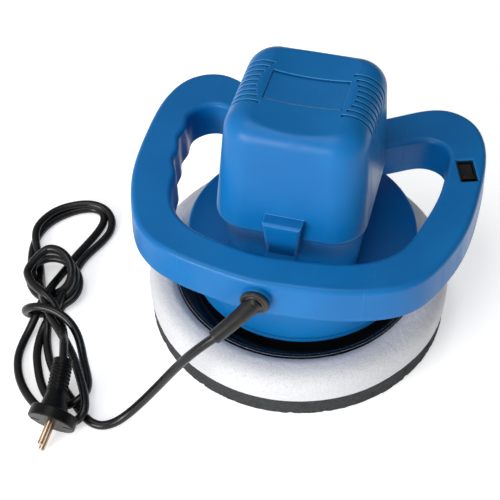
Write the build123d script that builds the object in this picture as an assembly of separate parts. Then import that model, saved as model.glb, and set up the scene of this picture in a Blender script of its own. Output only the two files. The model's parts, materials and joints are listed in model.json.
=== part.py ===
from build123d import *
import os
from math import cos, pi, radians, sin, tan

# Rotary polisher with a looped handle, a 240 mm foam pad on an eccentric, a mains cord and a plug.
# Millimetres. Origin: the motor's axis on the floor, at the foam's face. +Z up, -Y towards the cord outlet,
# +X towards the switch.

os.makedirs("parts", exist_ok=True)

# ---------------------------------------------------------------- driving dimensions
wall = 3.0                     # wall of the plastic mouldings
part_gap = 0.3                 # gap between neighbouring mouldings

orbit_radius = 3.5             # throw of the eccentric
rest_phase = 225.0             # where the eccentric stands at rest, from +X
pad_x = orbit_radius * cos(radians(rest_phase))
pad_y = orbit_radius * sin(radians(rest_phase))

foam_face_radius = 117.5
foam_face_top = 13.0
foam_radius = 120.0
foam_top = 44.0
plate_radius = 97.5
plate_bottom = 34.5
plate_floor = 38.0
plate_rim_top = 43.0
hub_top = 49.0

skirt_bottom = 44.5            # lower lip of the drum
lip_radius = 87.0
drum_radius = 89.5
drum_top = 84.0
partition_z = 70.0             # floor that carries the bearing plate

neck_bottom = 78.0
neck_top = 131.0
neck_foot = (48.5, -51.0, 48.0, 22.0)       # half width, front, back and corner radius at neck_bottom
neck_crown = (52.5, -56.0, 53.0, 23.0)      # the same at neck_top
cap_bottom = 125.0
cap_top = 211.0
cap_foot = (56.0, -59.8, 57.0, 25.0)        # half width, front, back and corner radius at cap_bottom
cap_crown = (50.0, -43.0, 58.7, 22.0)       # the same at cap_top
cap_top_edge = 17.0                         # radius round the crown
trough_radius = 180.0                       # shallow trough along the crown
trough_depth = 2.8
cap_foot_edge = 6.0
duct_half = 10.5                            # half width of the cord's duct
tab_half = 14.0                             # half width of its tab at the top
duct_top = 146.0
bridge_top = 118.0

ring_bottom = 104.0            # looped handle
ring_split = 108.0
ring_top = 135.0
ring_draft = 3.5               # how much wider the loop is at its foot
ring_edge = 4.0
handle_cut_x = 66.0            # the loop's sides are mouldings of their own beyond this
handle_cut_y = -68.5           # and its front is one before this

motor_bolt = 36.0              # half pitch of the motor's four long screws
core_bottom = 107.0
core_top = 141.0
frame_plate_z = core_bottom - 3.0
coil_overhang = 8.0            # how far the field coils stand past the core
bracket_top = 170.0
brush_z = 158.0
armature_radius = 23.6
slot_pitch_radius = armature_radius - 4.5
slot_count = 12
shaft_radius = 6.0
shaft_top_radius = 4.0
pin_radius = 5.0               # crank pin
fan_low = 84.0
fan_high = 95.0
fan_radius = 40.0
blade_count = 9
hub_low = 50.0
hub_high = 67.0

switch_place = (116.0, 33.5)
switch_turn = 18.5             # degrees about Z
switch_length = 22.5
switch_width = 12.5
rocker_pivot_z = 127.5
rocker_off_angle = -7.0

cord_diameter = 6.8
cord_radius = cord_diameter / 2
cord_rest_z = cord_radius + 0.1
grommet_z = 120.0
grommet_x = -6.0
grommet_face_y = -113.0


# ---------------------------------------------------------------- small helpers
def save(shape, node):
    export_step(shape, f"parts/{node}.step")
    print(f"{node}: {shape.volume:.0f} mm3")


def rod(radius, z_low, z_high, x=0.0, y=0.0):
    height = z_high - z_low
    return Pos(x, y, z_low + height / 2) * Cylinder(radius, height)


def tube(outer, inner, z_low, z_high, x=0.0, y=0.0):
    return rod(outer, z_low, z_high, x, y) - rod(inner, z_low - 1, z_high + 1, x, y)


def block(x_low, x_high, y_low, y_high, z_low, z_high):
    size = (x_high - x_low, y_high - y_low, z_high - z_low)
    middle = ((x_low + x_high) / 2, (y_low + y_high) / 2, (z_low + z_high) / 2)
    return Pos(*middle) * Box(*size)


def turned(profile):
    """A solid of revolution about Z from (radius, z) corners."""
    outline = make_face(Polyline(*[(r, 0, z) for r, z in profile], close=True))
    return revolve(outline, Axis.Z, 360)


def square_ring_places(half_pitch):
    return [(x, y) for x in (-half_pitch, half_pitch) for y in (-half_pitch, half_pitch)]


def circle_places(radius, count, start=0.0):
    angles = [radians(start + 360.0 * i / count) for i in range(count)]
    return [(radius * cos(a), radius * sin(a)) for a in angles]


def fuse(shapes):
    """Adds the shapes into one solid."""
    result = shapes[0]
    for shape in shapes[1:]:
        result = result + shape
    return result


def compound(shapes):
    """Keeps the shapes as separate solids of one group."""
    return Compound(children=[solid for shape in shapes for solid in shape.solids()])


def tapered_section(foot, crown, rise, z, inset):
    """A rounded oblong between a foot and a crown, each (half width, front, back, corner radius)."""
    half_x, front, back, corner = [low + (high - low) * rise for low, high in zip(foot, crown)]
    depth = back - front - 2 * inset
    return Pos(0, (front + back) / 2, z) * RectangleRounded(2 * (half_x - inset), depth, corner - inset)


# ---------------------------------------------------------------- cap, neck and looped handle
def cap_section(z, inset):
    rise = (z - cap_bottom) / (cap_top - cap_bottom)
    return tapered_section(cap_foot, cap_crown, rise, z, inset)


def trough(lowered=0.0):
    """The space over the crown's shallow trough, which runs from front to back."""
    axis_z = cap_top - trough_depth - lowered + trough_radius
    return Pos(0, 0, axis_z) * Rot(90, 0, 0) * Cylinder(trough_radius, 160)


def cap_body(inset=0.0, bottom=cap_bottom, rounded=True):
    """The tower's outer block, or the same block drawn in by an inset."""
    body = loft([cap_section(bottom, inset), cap_section(cap_top - inset, inset)], ruled=True)
    top_edges = body.faces().sort_by(Axis.Z)[-1].edges()
    body = fillet(top_edges, cap_top_edge - inset) - trough(inset)
    if rounded:
        foot_edges = body.faces().sort_by(Axis.Z)[0].edges()
        body = fillet(foot_edges, cap_foot_edge)
    return body


def neck_section(z, inset):
    rise = (z - neck_bottom) / (neck_top - neck_bottom)
    return tapered_section(neck_foot, neck_crown, rise, z, inset)


def neck_body(inset=0.0, bottom=neck_bottom, top=neck_top):
    """The tapered neck between the drum and the cap."""
    return loft([neck_section(bottom, inset), neck_section(top, inset)], ruled=True)


def mirrored_outline(right_side):
    """A closed curve from its right half, front to back. Points on x = 0 are kept once."""
    left_side = [(-x, y) for x, y in reversed(right_side) if x > 0]
    return list(right_side) + left_side


loop_outer = mirrored_outline([
    (0, -109), (38, -105.5), (72, -97.5), (98, -83), (114, -58), (124.5, -25),
    (128.5, 20), (126, 62), (113, 88), (92, 97), (66, 88), (38, 72), (0, 66)])
loop_inner_right = [
    (0, -83), (36, -79), (64, -70.5), (82, -55), (93, -27),
    (100, 5), (101.5, 32), (98, 53), (84, 59), (66, 52), (44, 40), (0, 30)]
grip_rear_y = 42.0             # the finger waves start here and run forward
grip_pitch = 24.0
grip_depth = 1.0
grip_wave_ends = 7


def grip_side():
    """The left grip's inner edge: shallow finger waves on a gentle curve, back to front."""
    points = []
    for i in range(grip_wave_ends):
        y = grip_rear_y - i * grip_pitch / 2
        bow = 0.003 if y < 32 else 0.008
        ripple = grip_depth if i % 2 == 0 else -grip_depth
        points.append((-(101.5 - bow * (y - 32) ** 2 + ripple), y))
    return points


loop_inner_left_rear = [(-44, 40), (-66, 52), (-84, 59)]
loop_inner_left_front = [(-82, -55), (-64, -70.5), (-36, -79)]
loop_inner = loop_inner_right + loop_inner_left_rear + grip_side() + loop_inner_left_front


def grown(points, amount):
    """The outline's points moved outward along the outline's normal."""
    moved = []
    for i, (x, y) in enumerate(points):
        before = points[i - 1]
        after = points[(i + 1) % len(points)]
        along = Vector(after[0] - before[0], after[1] - before[1]).normalized()
        moved.append((x + along.Y * amount, y - along.X * amount))
    return moved


def curve_face(points, z, grow=0.0):
    return make_face(Spline(*[(x, y, z) for x, y in grown(points, grow)], periodic=True))


def loop_outside(z_low, z_high, grow=0.0):
    """The looped handle's outline as a block, a little wider at its foot."""
    widening = (z_high - z_low) * tan(radians(ring_draft))
    foot = curve_face(loop_outer, z_low, grow + widening)
    return loft([foot, curve_face(loop_outer, z_high, grow)], ruled=True)


def loop_opening(z_low, z_high, grow=0.0):
    """The space inside the looped handle, where the hands go and the tower stands."""
    return extrude(curve_face(loop_inner, z_low, grow), amount=z_high - z_low)


def duct(inset=0.0):
    """The cord's duct: a tab on the front of the cap and a short bridge to the loop."""
    front, back = -66 + inset, -44
    foot = Pos(0, (front + back) / 2, ring_split) * Rectangle(2 * (duct_half - inset), back - front)
    head = Pos(0, (front + back) / 2, duct_top - inset) * Rectangle(2 * (tab_half - inset), back - front)
    tab = loft([foot, head], ruled=True)
    if not inset:
        tab = fillet(tab.faces().sort_by(Axis.Y)[0].edges().sort_by(Axis.Z)[1:], 2.5)
    half = duct_half - inset
    bridge = block(-half, half, -90, -60, ring_split, bridge_top - inset)
    return tab + bridge


def switch_frame(z):
    """The place and turn of the switch at a given height."""
    return Pos(switch_place[0], switch_place[1], z) * Rot(0, 0, switch_turn)


# the screws that hold the handle's cover, and the posts they turn into
handle_screw_places = [(-60, -88), (60, -88), (-113, -15), (113, -22), (-108, 70), (108, 70)]
handle_screw_radius = 1.5
handle_head_radius = 3.0
handle_post_radius = 4.0
clamp_screw_places = [(-11, -96), (11, -96)]
clamp_screw_radius = 1.2


def housing_mouldings():
    """The tower and the looped handle, before they are divided."""
    ring = loop_outside(ring_split, ring_top) - loop_opening(ring_split - 1, ring_top + 1)
    ring = fillet(ring.faces().sort_by(Axis.Z)[-1].edges(), ring_edge)

    hollow = loop_outside(ring_split, ring_top - wall, -wall) - loop_opening(ring_split, ring_top, wall)
    cavity = cap_body(wall, cap_bottom + 5.5, False) + neck_body(-part_gap, ring_split - 1, cap_bottom + 6)
    body = ring + cap_body() + duct()
    body = body - hollow - cavity - duct(wall)

    # cable boss, label recess, vents, switch aperture, screw posts
    boss = Pos(grommet_x, grommet_face_y + 6, grommet_z) * Rot(90, 0, 0) * Cylinder(11.0, 12)
    cable_hole = Pos(grommet_x, grommet_face_y, grommet_z) * Rot(90, 0, 0)
    cable_hole = cable_hole * Cylinder(grommet_neck_radius + 0.1, 30)
    body = body + (boss - loop_opening(ring_split, ring_top)) - cable_hole
    body = body - label_recess() - vents()
    aperture = switch_frame(ring_top) * Box(switch_width, switch_length, 2 * wall + 2)
    bevel = switch_frame(ring_top) * loft([
        Pos(0, 0, -1.2) * Rectangle(switch_width, switch_length),
        Pos(0, 0, 0.2) * Rectangle(switch_width + 2.4, switch_length + 2.4)])
    body = body - aperture - bevel
    for x, y in handle_screw_places:
        post = rod(handle_post_radius, ring_split, ring_top - wall + 0.5, x, y)
        body = body + post - rod(handle_screw_radius, ring_split - 1, ring_split + 14, x, y)
    for x, y in clamp_screw_places:
        post = rod(3.5, clamp_top, ring_top - wall + 0.5, x, y)
        body = body + post - rod(clamp_screw_radius, clamp_top - 1, clamp_top + 11, x, y)
    return body


def bridge_end():
    """The end of the duct's bridge, which stays on the tower."""
    half = duct_half + 1
    return block(-half, half, handle_cut_y - 16, handle_cut_y, ring_bottom - 1, ring_top + 1)


def handle_zones(left_out=None):
    """Where the loop is divided: its front and its two sides."""
    low, high = ring_bottom - 1, ring_top + 1
    front = block(-handle_cut_x, handle_cut_x, -140, handle_cut_y, low, high)
    if left_out:
        front = front - left_out
    return {
        "front": front,
        "right": block(handle_cut_x, 140, -140, 140, low, high),
        "left": block(-140, -handle_cut_x, -140, 140, low, high)}


def divided(body, zones):
    """A moulding's middle, and the parts of it that lie in each zone."""
    middle = body
    for zone in zones.values():
        middle = middle - zone
    return middle, {side: body & zone for side, zone in zones.items()}


recess_half = (28.0, 15.5)
recess_middle_y = 6.5
recess_depth = 1.4


def label_recess():
    outline = Pos(0, recess_middle_y, cap_top) * Box(2 * recess_half[0], 2 * recess_half[1], 20)
    return outline & trough(recess_depth)


rib_count = 9
rib_pitch = 5.4
rib_width = 2.6
rib_middle_y = 7.0
rib_depth = 1.5


def vents():
    """Nine shallow grooves down each shoulder of the cap. Their inner ends follow a shallow arc."""
    skin = cap_body() - cap_body(rib_depth, cap_bottom - 1, False)
    slots = []
    for i in range(rib_count):
        step = i - (rib_count - 1) / 2
        y = rib_middle_y + step * rib_pitch
        inner = 35.0 - 6.5 * (step / 4) ** 2
        for low, high in ((inner, 70), (-70, -inner)):
            slots.append(block(low, high, y - rib_width / 2, y + rib_width / 2, 189, cap_top + 1))
    return skin & fuse(slots)


def handle_lower_cover():
    plate = loop_outside(ring_bottom, ring_split) - loop_opening(ring_bottom - 1, ring_split + 1)
    plate = plate + block(-duct_half, duct_half, -90, handle_cut_y, ring_bottom, ring_split)
    plate = plate - neck_body(-part_gap)
    for x, y in handle_screw_places:
        plate = plate - rod(handle_screw_radius + 0.2, ring_bottom - 1, ring_split + 1, x, y)
        plate = plate - rod(handle_head_radius + 0.2, ring_bottom - 1, ring_bottom + 2, x, y)
    return plate


def handle_screws():
    screws = []
    for x, y in handle_screw_places:
        shank = rod(handle_screw_radius, ring_bottom + 2, ring_split + 12, x, y)
        head = rod(handle_head_radius, ring_bottom + 0.2, ring_bottom + 2, x, y)
        cross = Pos(x, y, ring_bottom) * (Box(3.6, 0.8, 2) + Box(0.8, 3.6, 2))
        screws.append(shank + head - cross)
    return compound(screws)


def label_plate():
    outline = Pos(0, recess_middle_y, cap_top) * Box(2 * recess_half[0] - 0.6, 2 * recess_half[1] - 0.6, 20)
    return (outline & trough(recess_depth)) - trough(recess_depth - 0.6)


# ---------------------------------------------------------------- base housing
motor_post_radius = 6.0
plate_screw_radius = 1.6
bearing_plate_screw_places = circle_places(33.0, 4, 45.0)


def base_mouldings():
    """The drum, its skirt and the neck, before they are divided."""
    outer = turned([
        (0, skirt_bottom), (lip_radius, skirt_bottom), (lip_radius, skirt_bottom + 3.5),
        (lip_radius - 3.5, skirt_bottom + 5), (lip_radius - 3.5, skirt_bottom + 6.5),
        (drum_radius - 0.6, skirt_bottom + 8.5), (drum_radius, drum_top - 4), (0, drum_top)])
    shoulder = outer.faces().sort_by(Axis.Z)[-1].edges()
    outer = fillet(shoulder, 3.5)
    lip = outer.edges().filter_by(GeomType.CIRCLE).group_by(Axis.Z)[0]
    outer = fillet(lip, 1.2)
    body = outer + neck_body()
    skirt = rod(lip_radius - 3.5 - wall, skirt_bottom - 1, partition_z)
    room_radius = drum_radius - wall - 1
    upper_room = turned([
        (0, partition_z + wall), (room_radius, partition_z + wall),
        (room_radius, drum_top - 7), (0, drum_top - wall)])
    body = body - skirt - upper_room - neck_body(wall, neck_bottom - 4, neck_top + 1)
    bolt_places = square_ring_places(motor_bolt)
    posts = [rod(motor_post_radius, partition_z + 1, frame_plate_z, x, y) for x, y in bolt_places]
    body = fuse([body] + posts)
    body = body - rod(24.4, partition_z - 1, partition_z + wall + 1)
    for x, y in bearing_plate_screw_places:
        body = body - rod(plate_screw_radius, partition_z - 1, partition_z + wall + 1, x, y)
    for x, y in bolt_places:
        body = body - rod(2.0, frame_plate_z - 16, frame_plate_z + 1, x, y)
    for turn in range(0, 360, 30):
        vent = Rot(0, 0, turn + 15) * block(60, 76, -2, 2, partition_z - 1, partition_z + wall + 1)
        body = body - vent
    cord_window = block(-10, 10, -60, -44, 110, 118)
    return body - cord_window


def neck():
    """The neck that stands on the drum, around the motor's posts."""
    top = base_mouldings() & block(-60, 60, -62, 60, drum_top, neck_top + 1)
    for x, y in square_ring_places(motor_bolt):
        top = top - rod(motor_post_radius, partition_z, frame_plate_z + 1, x, y)
    return top


def bearing_plate():
    seat = partition_z + wall
    body = turned([
        (14, seat + 3), (14, 79), (18, 79), (18, seat + 3.5), (38, seat + 3),
        (38, seat), (24, seat), (24, 68), (10, 68), (10, 70), (14, 70)])
    for x, y in bearing_plate_screw_places:
        body = body - rod(plate_screw_radius, partition_z, 80, x, y)
    return body


def pan_screw(radius, head_radius, z_head, z_tip, x, y, head_height=2.0):
    """A screw whose head sits at z_head; the shank runs to z_tip, above or below."""
    away = 1 if z_head > z_tip else -1
    low, high = sorted((z_head, z_tip))
    shank = rod(radius, low, high, x, y)
    head_low, head_high = sorted((z_head, z_head + away * head_height))
    head = rod(head_radius, head_low, head_high, x, y)
    span = head_radius * 1.3
    cross = Pos(x, y, z_head + away * head_height) * (Box(span, 0.8, 1.6) + Box(0.8, span, 1.6))
    return shank + head - cross


def bearing_plate_screws():
    top = partition_z + wall + 3.25
    places = bearing_plate_screw_places
    return compound([pan_screw(plate_screw_radius, 3.0, top, partition_z, x, y) for x, y in places])


# ---------------------------------------------------------------- ball bearings
def bearing_outer_ring(bore, outside, z_low, z_high):
    pitch = (bore + outside) / 2
    ball = 0.3 * (outside - bore)
    race = Pos(0, 0, (z_low + z_high) / 2) * Torus(pitch, ball + 0.1)
    return tube(outside, pitch + 0.55 * ball, z_low, z_high) - race


def bearing_inner_ring(bore, outside, z_low, z_high):
    pitch = (bore + outside) / 2
    ball = 0.3 * (outside - bore)
    race = Pos(0, 0, (z_low + z_high) / 2) * Torus(pitch, ball + 0.1)
    return tube(pitch - 0.55 * ball, bore, z_low, z_high) - race


def bearing_balls(bore, outside, z_low, z_high):
    pitch = (bore + outside) / 2
    ball = 0.3 * (outside - bore)
    places = circle_places(pitch, 8)
    return [Pos(x, y, (z_low + z_high) / 2) * Sphere(ball) for x, y in places]


lower_bearing = (shaft_radius, 14.0, 70.0, 78.0)
upper_bearing = (shaft_top_radius, 11.0, 171.0, 178.0)
pad_bearing = (pin_radius, 13.0, 40.0, 48.0)


# ---------------------------------------------------------------- motor, the still parts
def motor_frame_plate():
    middle_z = (frame_plate_z + core_bottom) / 2
    plate = Pos(0, 0, middle_z) * extrude(RectangleRounded(88, 88, 18), 1.5, both=True)
    plate = plate - block(-38, 38, -33, 33, frame_plate_z - 1, core_bottom + 1)
    for x, y in square_ring_places(motor_bolt):
        plate = plate - rod(2.2, frame_plate_z - 1, core_bottom + 1, x, y)
    return plate


def coil_loop(side):
    """One field coil: a flat loop of wire round a pole, standing along the shaft."""
    outside = block(27, 36, -30, 30, core_bottom - coil_overhang, core_top + coil_overhang)
    outside = fillet(outside.edges().filter_by(Axis.X), 7)
    window = block(26, 37, -21, 21, core_bottom - 0.2, core_top + 0.2)
    loop = outside - window
    return loop if side > 0 else mirror(loop, Plane.YZ)


def stator_core():
    height = core_top - core_bottom
    core = Pos(0, 0, core_bottom) * extrude(RectangleRounded(84, 84, 12), height)
    core = core - rod(armature_radius + 0.7, core_bottom - 1, core_top + 1)
    for side in (-1, 1):
        low, high = sorted((26.8 * side, 36.2 * side))
        for y in (-1, 1):
            y_low, y_high = sorted((20.8 * y, 30.2 * y))
            core = core - block(low, high, y_low, y_high, core_bottom - 1, core_top + 1)
            mouth_low, mouth_high = sorted((10 * side, 27 * side))
            side_low, side_high = sorted((21 * y, 25 * y))
            core = core - block(mouth_low, mouth_high, side_low, side_high, core_bottom - 1, core_top + 1)
    for x, y in square_ring_places(motor_bolt):
        core = core - rod(2.2, core_bottom - 1, core_top + 1, x, y)
    return core


def upper_motor_bracket():
    plate = Pos(0, 0, bracket_top - 4) * extrude(RectangleRounded(84, 84, 12), 4)
    for sx in (-1, 1):
        for sy in (-1, 1):
            window = Pos(sx * 25, sy * 27, bracket_top - 2) * Box(14, 18, 6)
            plate = plate - window
    legs = [rod(6, core_top, bracket_top - 3, x, y) for x, y in square_ring_places(motor_bolt)]
    arms = [block(16, 34, -8, 8, 152.5, bracket_top - 3), block(-34, -16, -8, 8, 152.5, bracket_top - 3)]
    seat = rod(15, bracket_top - 4, 181)
    body = fuse([plate, seat] + legs + arms)
    body = body - rod(11, upper_bearing[2], 182) - rod(8, bracket_top - 6, upper_bearing[2] + 1)
    for side in (-1, 1):
        low, high = sorted((15 * side, 35 * side))
        body = body - block(low, high, -5, 5, 154, 162)
    for x, y in square_ring_places(motor_bolt):
        body = body - rod(2.2, core_top - 1, bracket_top + 1, x, y)
    return body


def motor_through_screws():
    places = square_ring_places(motor_bolt)
    return compound([pan_screw(2.0, 3.8, bracket_top, frame_plate_z - 14, x, y, 2.6) for x, y in places])


def sided(shape, side):
    return shape if side > 0 else mirror(shape, Plane.YZ)


def brush_holder(side):
    shell = block(14, 36, -5, 5, brush_z - 4, brush_z + 4)
    channel = block(13, 34.8, -4.2, 4.2, brush_z - 3.2, brush_z + 3.2)
    return sided(shell - channel, side)


def carbon_brush(side):
    return sided(block(11.1, 26, -4.1, 4.1, brush_z - 3.1, brush_z + 3.1), side)


def brush_spring(side):
    """The coil spring behind a brush."""
    coil = Helix(pitch=1.8, height=7.4, radius=2.2)
    section = Plane(coil @ 0, z_dir=coil % 0) * Circle(0.4)
    spring = sweep(section, path=coil, is_frenet=True)
    return sided(Pos(26.7, 0, brush_z) * (Rot(0, 90, 0) * spring), side)


def suppression_capacitor():
    case = block(-13, 13, 20, 34, bracket_top, bracket_top + 16)
    return fillet(case.edges().filter_by(Axis.Z), 1.5)


# ---------------------------------------------------------------- rotor
def at_rest(shape):
    """Turns a piece drawn with its throw along +X to the phase it has at rest."""
    return Rot(0, 0, rest_phase) * shape


def motor_shaft():
    return rod(shaft_radius, 54, 168) + rod(shaft_top_radius, 168, 182)


def armature_core():
    core = tube(armature_radius, shaft_radius, core_bottom, core_top)
    for x, y in circle_places(slot_pitch_radius, slot_count):
        core = core - rod(2.6, core_bottom - 1, core_top + 1, x, y)
    return core


def armature_winding():
    """The end turns above and below the core, and the wires that fill its slots."""
    ends = [tube(21, 8.5, core_bottom - 7, core_bottom), tube(21, 8.5, core_top, core_top + 6)]
    places = circle_places(slot_pitch_radius, slot_count)
    bars = [rod(2.5, core_bottom - 1, core_top + 1, x, y) for x, y in places]
    return fuse(ends + bars)


def commutator():
    body = tube(11, shaft_radius, core_top + 6.5, 165)
    for i in range(24):
        slot = Rot(0, 0, 15 * i) * block(10, 12, -0.25, 0.25, core_top + 9, 166)
        body = body - slot
    return body


def cooling_fan():
    disc = tube(fan_radius, 8, fan_low, fan_low + 1.8)
    hub = tube(12, shaft_radius, fan_low, fan_high)
    blades = []
    for i in range(blade_count):
        blade = block(11, fan_radius - 1, -0.9, 0.9, fan_low + 1, fan_high)
        blades.append(Rot(0, 0, 360 / blade_count * i) * blade)
    return fuse([disc, hub] + blades)


def eccentric_hub():
    drum = rod(15, hub_low + 1, hub_high) - rod(shaft_radius, 54, hub_high + 1)
    shoulder = rod(7.0, pad_bearing[3], hub_low + 2, orbit_radius, 0)
    pin = rod(pin_radius, pad_bearing[2], hub_low + 2, orbit_radius, 0)
    screw_hole = Pos(-11, 0, 63) * Rot(0, 90, 0) * Cylinder(2.0, 10)
    thread = rod(2.5, pad_bearing[2] - 1, pad_bearing[2] + 12, orbit_radius, 0)
    return at_rest(drum + shoulder + pin - thread - screw_hole)


def hub_grub_screw():
    screw = Pos(-9.5, 0, 63) * Rot(0, 90, 0) * Cylinder(2.0, 7)
    socket = Pos(-13, 0, 63) * Rot(0, 90, 0) * extrude(RegularPolygon(1.1, 6), 2, both=True)
    return at_rest(screw - socket)


def counterweight():
    """A steel half ring clamped round the hub, on the side away from the throw."""
    ring = tube(48, 15, 53, 59)
    half = ring & (block(-50, 4, -50, 50, 52, 60))
    return at_rest(half)


def pad_washer():
    return at_rest(tube(7.2, 2.7, pad_bearing[2] - 1.2, pad_bearing[2], orbit_radius, 0))


def pad_screw():
    z_head = pad_bearing[2] - 1.2
    shank = rod(2.5, z_head, z_head + 12, orbit_radius, 0)
    head = rod(4.6, z_head - 3.2, z_head, orbit_radius, 0)
    socket = Pos(orbit_radius, 0, z_head - 3.2) * extrude(RegularPolygon(2.2, 6), 2.0, both=True)
    return at_rest(shank + head - socket)


# ---------------------------------------------------------------- pad
def on_pad_axis(shape):
    return Pos(pad_x, pad_y, 0) * shape


def grey_foam():
    disc = Pos(0, 0, foam_face_top / 2) * Cone(foam_face_radius, foam_face_radius + 1, foam_face_top)
    disc = fillet(disc.edges().sort_by(Axis.Z)[0:1], 1.5)
    return on_pad_axis(disc)


def white_foam():
    lip = 103
    seat = plate_radius + part_gap
    body = turned([
        (0, foam_face_top), (foam_radius, foam_face_top), (foam_radius, foam_top), (lip, foam_top),
        (seat, foam_top - 2.5), (seat, plate_bottom), (0, plate_bottom)])
    edges = body.edges().filter_by(GeomType.CIRCLE)
    outer = [e for e in edges if abs(e.radius - foam_radius) < 0.01]
    body = fillet([e for e in outer if e.center().Z > foam_top - 0.1], 15)
    edges = body.edges().filter_by(GeomType.CIRCLE)
    low = [e for e in edges if abs(e.radius - foam_radius) < 0.01 and e.center().Z < foam_face_top + 0.1]
    body = fillet(low, 1.5)
    inner = [e for e in body.edges().filter_by(GeomType.CIRCLE) if abs(e.radius - lip) < 0.01]
    body = fillet(inner, 4)
    return on_pad_axis(body)


plate_rib_count = 12


def backing_plate():
    body = turned([
        (11, plate_bottom), (plate_radius, plate_bottom), (plate_radius, plate_rim_top),
        (plate_radius - 2.5, plate_rim_top), (plate_radius - 4.5, plate_floor), (19, plate_floor),
        (18, hub_top), (13, hub_top), (13, pad_bearing[2]), (11, pad_bearing[2])])
    ribs = []
    for i in range(plate_rib_count):
        rib = block(17, 78, -1.1, 1.1, plate_floor - 1, plate_floor + 2.4)
        ribs.append(Rot(0, 0, 360 / plate_rib_count * i) * rib)
    body = fuse([body] + ribs)
    groove = tube(14.0, 12.0, pad_bearing[3], pad_bearing[3] + 1.0)
    return on_pad_axis(body - groove)


def pad_circlip():
    ring = tube(13.9, 11.6, pad_bearing[3] + 0.05, pad_bearing[3] + 0.95)
    return on_pad_axis(ring - block(10, 16, -3, 3, pad_bearing[3], pad_bearing[3] + 2))


# ---------------------------------------------------------------- rocker switch
def switch_body():
    case = Box(switch_width - 0.4, switch_length - 0.4, 22)
    case = Pos(0, 0, ring_top - 1.6 - 11) * case
    lugs = Pos(0, 0, ring_top - wall - 1.7) * Box(7, switch_length + 3, 3)
    well = Pos(0, 0, ring_top - 1.6 - 5) * Box(switch_width - 2.4, switch_length - 2.4, 10.2)
    contacts = [Pos(0, y, ring_top - 24.1) * Box(5, 0.8, 4) for y in (-7, 0, 7)]
    pin_holes = Pos(0, 0, rocker_pivot_z) * Rot(0, 90, 0) * Cylinder(1.05, switch_width - 1.2)
    return switch_frame(0) * (fuse([case, lugs] + contacts) - well - pin_holes)


def rocker():
    """A paddle with a shallow V top and fine ridges across it. Drawn level, then tilted to off."""
    half = (switch_length - 4.2) / 2
    side = [
        (-half, 5.6), (0, 3.9), (half, 5.6), (half - 0.6, 1.0), (3.0, -3.4), (-3.0, -3.4), (-half + 0.6, 1.0)]
    profile = make_face(Polyline(*[(0, y, z) for y, z in side], close=True))
    body = extrude(profile, (switch_width - 3.0) / 2, dir=(1, 0, 0), both=True)
    ridge_pitch = (2 * half - 2.8) / 12
    for i in range(13):
        y = -half + 1.4 + i * ridge_pitch
        z = 3.9 + 1.7 * abs(y) / half
        body = body - Pos(0, y, z) * Rot(45, 0, 0) * Box(switch_width - 4.6, 0.7, 0.7)
    pin = Rot(0, 90, 0) * Cylinder(1.0, switch_width - 1.4)
    tilt = Rot(rocker_off_angle, 0, 0)
    return switch_frame(rocker_pivot_z) * (tilt * (body + pin))


# ---------------------------------------------------------------- cord
sleeve_end = (-29, -137, 102)
sleeve_radius = 5.2
grommet_flange_radius = 10.5
grommet_neck_radius = 6.2


def round_corners(points):
    """The largest radius that each corner's runs allow: 0.45 of the shorter run over tan(half the turn)."""
    radii = []
    for i in range(1, len(points) - 1):
        before = Vector(*points[i]) - Vector(*points[i - 1])
        after = Vector(*points[i + 1]) - Vector(*points[i])
        turn = radians(before.get_angle(after))
        radii.append(0.45 * min(before.length, after.length) / tan(turn / 2))
    return radii


def cord_path(points):
    radii = round_corners(points)
    print("corner radii:", [round(r, 1) for r in radii])
    return FilletPolyline(*points, radius=radii)


def swept_round(points, radius):
    path = cord_path(points)
    section = Plane(path @ 0, z_dir=path % 0) * Circle(radius)
    solid = sweep(section, path=path)
    print(f"length {path.length:.1f}, volume over section {solid.volume / (pi * radius ** 2):.1f}")
    return solid


def grommet():
    """The rubber grommet in the handle's front wall, with the sleeve that guards the cord's bend."""
    flange = Pos(grommet_x, grommet_face_y - 1.6, grommet_z) * Rot(90, 0, 0)
    flange = flange * Cylinder(grommet_flange_radius, 3.0)
    flange = fillet(flange.edges().sort_by(Axis.Y)[0:1], 1.2)
    neck = Pos(grommet_x, grommet_face_y + 3.5, grommet_z) * Rot(90, 0, 0)
    neck = neck * Cylinder(grommet_neck_radius, 8)
    sleeve = swept_round([
        (grommet_x, grommet_face_y, grommet_z), (grommet_x - 3, grommet_face_y - 6, grommet_z - 2.5),
        (-17, grommet_face_y - 15.5, grommet_z - 9.5), sleeve_end], sleeve_radius)
    return flange + neck + sleeve


cord_route = [
    sleeve_end, (-46, -141, 84), (-64, -142, 58), (-79, -141.5, 35), (-90, -146, 20), (-98, -155, 10),
    (-106, -165, 5), (-118, -171, cord_rest_z), (-131, -170, cord_rest_z), (-142, -164, cord_rest_z),
    (-149, -154.5, cord_rest_z)]


cord_tail_route = [(-157, -121, 32), (-166, -106, 26), (-176, -93, 19), (-184, -82, 13)]


# ---------------------------------------------------------------- hank and plug
hank_low = 0.3
loop_height = 9.0
wrap_height = 19.0
hank_loop = [
    (-180, -20), (-173, 8), (-172, 30), (-183, 46), (-206, 51),
    (-230, 38), (-243, 10), (-238, -20), (-210, -32)]
hank_wrap = [
    (-219, -66), (-200, -86), (-179, -82), (-168, -62), (-174, -36), (-194, -18), (-219, -16), (-232, -34)]
hank_tail_loops = [
    (-206, -86), (-199, -120), (-195, -146), (-176, -164), (-150, -170),
    (-127, -168), (-130, -146), (-148, -116), (-168, -86), (-186, -78)]
hank_band = 14.0
tail_band = 13.0


def band(points, height, width):
    """A closed band of cord turns: the outer shape of a loop, with its opening left out."""
    outside = extrude(curve_face(points, hank_low), amount=height)
    inside = extrude(curve_face(points, hank_low - 1, -width), amount=height + 2)
    return outside - inside


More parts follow.
